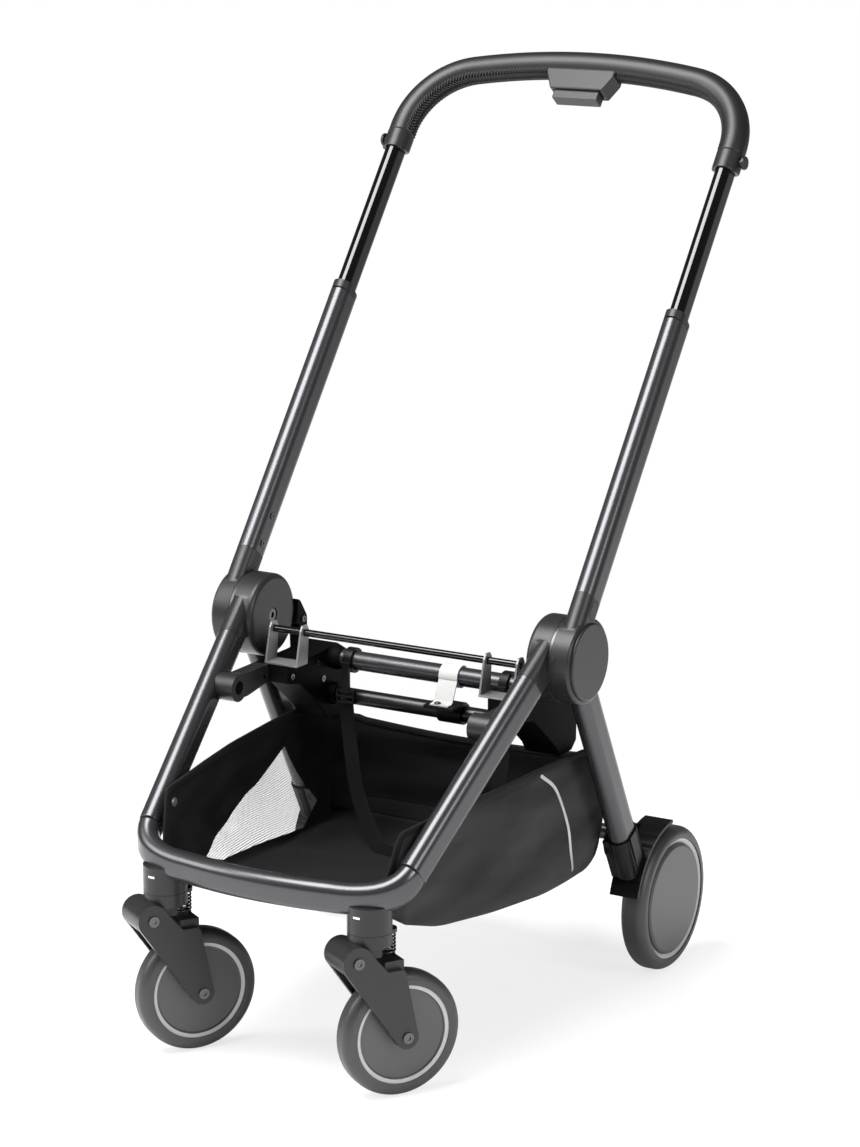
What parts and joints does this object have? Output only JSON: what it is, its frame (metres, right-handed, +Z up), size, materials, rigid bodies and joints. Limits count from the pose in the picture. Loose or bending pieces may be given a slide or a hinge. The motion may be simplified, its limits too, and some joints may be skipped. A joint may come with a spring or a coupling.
{
  "type": "pushchair chassis",
  "caption": "Folding pushchair chassis with a telescopic U handle, swivelling sprung front casters, rear legs, cross frame for a clip-on seat and a fabric basket.",
  "frame": {"origin": "on the ground under the middle of the overall box", "axes": "+Z up along the height, front towards -Y, +X to the right as seen from the front looking back"},
  "size_m": [0.5222, 0.8512, 1.1241],
  "materials": {
    "satin_tube": "satin dark grey lacquer",
    "gloss_tube": "gloss black lacquer",
    "moulded_grey": "fine-grained moulded charcoal",
    "moulded_black": "fine-grained moulded black",
    "bright_steel": "plain steel",
    "pale_steel": "light grey lacquer",
    "pale_webbing": "light grey woven webbing",
    "black_cloth": "black woven polyester",
    "grip_cover": "charcoal soft cover over foam",
    "tyre_rubber": "matt charcoal foam rubber"
  },
  "bodies": {
    "front_frame": {"front_bar": "satin_tube", "front_tube_l": "satin_tube", "front_tube_r": "satin_tube", "hub_inner_l": "moulded_grey", "hub_inner_r": "moulded_grey", "hub_axles": "bright_steel", "caster_housing_l": "moulded_grey", "caster_housing_r": "moulded_grey", "seat_arm_l": "moulded_black", "seat_arm_r": "moulded_black", "seat_carrier_l": "moulded_black", "seat_carrier_r": "moulded_black", "seat_brackets": "pale_steel", "seat_rod": "gloss_tube", "cross_tube_upper": "satin_tube", "cross_tube_lower": "gloss_tube", "strap_saddle": "moulded_black", "strap_loop": "pale_webbing", "basket": "black_cloth", "basket_straps": "black_cloth", "strap_buckles": "moulded_black", "frame_screws": "bright_steel", "hub_ears": "moulded_black"},
    "handle_base": {"hub_outer_l": "moulded_grey", "hub_outer_r": "moulded_grey", "hub_cap_l": "moulded_grey", "hub_cap_r": "moulded_grey", "outer_tube_l": "satin_tube", "outer_tube_r": "satin_tube", "tube_collars": "moulded_grey", "upper_screws": "bright_steel"},
    "handle": {"slide_tubes": "gloss_tube", "handle_bar": "gloss_tube", "handle_grip": "grip_cover", "grip_collars": "moulded_grey", "accessory_studs": "moulded_black", "button_housing": "moulded_grey"},
    "paddle": {"release_paddle": "moulded_grey"},
    "rear_legs": {"rear_leg_l": "satin_tube", "rear_leg_r": "satin_tube", "wheel_guard_l": "moulded_black", "wheel_guard_r": "moulded_black", "rear_cross_tube": "satin_tube"},
    "pedal": {"brake_pedal": "moulded_black"},
    "rear_wheel_l": {"rear_tyre_l": "tyre_rubber", "rear_rim_l": "moulded_grey"},
    "rear_wheel_r": {"rear_tyre_r": "tyre_rubber", "rear_rim_r": "moulded_grey"},
    "caster_l": {"caster_head_l": "moulded_grey", "fork_spring_l": "bright_steel"},
    "fork_l": {"fork_l": "moulded_grey", "fork_bolts_l": "bright_steel"},
    "front_wheel_l": {"front_tyre_l": "tyre_rubber", "front_rim_l": "moulded_grey"},
    "caster_r": {"caster_head_r": "moulded_grey", "fork_spring_r": "bright_steel"},
    "fork_r": {"fork_r": "moulded_grey", "fork_bolts_r": "bright_steel"},
    "front_wheel_r": {"front_tyre_r": "tyre_rubber", "front_rim_r": "moulded_grey"}
  },
  "joints": [
    {"name": "fold", "type": "hinge", "parent": "front_frame", "child": "handle_base", "pos_m": [0, -0.05546, 0.457], "axis": [1, 0, 0], "range_deg": [0, 118]},
    {"name": "rear_leg_fold", "type": "hinge", "parent": "front_frame", "child": "rear_legs", "pos_m": [0, -0.05546, 0.457], "axis": [1, 0, 0], "range_deg": [-38.72, 0]},
    {"name": "handle_height", "type": "slide", "parent": "handle_base", "child": "handle", "axis": [0, 0.6088, 0.7934], "range_m": [-0.13, 0]},
    {"name": "release_squeeze", "type": "slide", "parent": "handle", "child": "paddle", "axis": [0, 0.6088, 0.7934], "range_m": [0, 0.006], "stiffness_N_per_m": 600, "springref_m": -0.004},
    {"name": "brake", "type": "hinge", "parent": "rear_legs", "child": "pedal", "pos_m": [0, 0.15654, 0.174], "axis": [-1, 0, 0], "range_deg": [0, 22]},
    {"name": "caster_swivel_l", "type": "hinge", "parent": "front_frame", "child": "caster_l", "pos_m": [-0.14, -0.37346, 0.203], "axis": [0, 0, 1], "continuous": true},
    {"name": "fork_spring_travel_l", "type": "hinge", "parent": "caster_l", "child": "fork_l", "pos_m": [-0.15404, -0.39593, 0.1745], "axis": [0.848, -0.5299, 0], "range_deg": [0, 8], "stiffness_Nm_per_rad": 40, "springref_deg": -8.59, "deforming": ["fork_spring_l"]},
    {"name": "front_wheel_spin_l", "type": "hinge", "parent": "fork_l", "child": "front_wheel_l", "pos_m": [-0.12119, -0.34335, 0.075], "axis": [0.848, -0.5299, 0], "continuous": true},
    {"name": "rear_wheel_spin_l", "type": "hinge", "parent": "rear_legs", "child": "rear_wheel_l", "pos_m": [-0.2371, 0.18154, 0.092], "axis": [1, 0, 0], "continuous": true},
    {"name": "caster_swivel_r", "type": "hinge", "parent": "front_frame", "child": "caster_r", "pos_m": [0.14, -0.37346, 0.203], "axis": [0, 0, 1], "continuous": true},
    {"name": "fork_spring_travel_r", "type": "hinge", "parent": "caster_r", "child": "fork_r", "pos_m": [0.12596, -0.39593, 0.1745], "axis": [0.848, -0.5299, 0], "range_deg": [0, 8], "stiffness_Nm_per_rad": 40, "springref_deg": -8.59, "deforming": ["fork_spring_r"]},
    {"name": "front_wheel_spin_r", "type": "hinge", "parent": "fork_r", "child": "front_wheel_r", "pos_m": [0.15881, -0.34335, 0.075], "axis": [0.848, -0.5299, 0], "continuous": true},
    {"name": "rear_wheel_spin_r", "type": "hinge", "parent": "rear_legs", "child": "rear_wheel_r", "pos_m": [0.2371, 0.18154, 0.092], "axis": [1, 0, 0], "continuous": true}
  ],
  "couplings": [
    {"joint": "rear_leg_fold", "follows": "fold", "ratio": -0.32812}
  ]
}
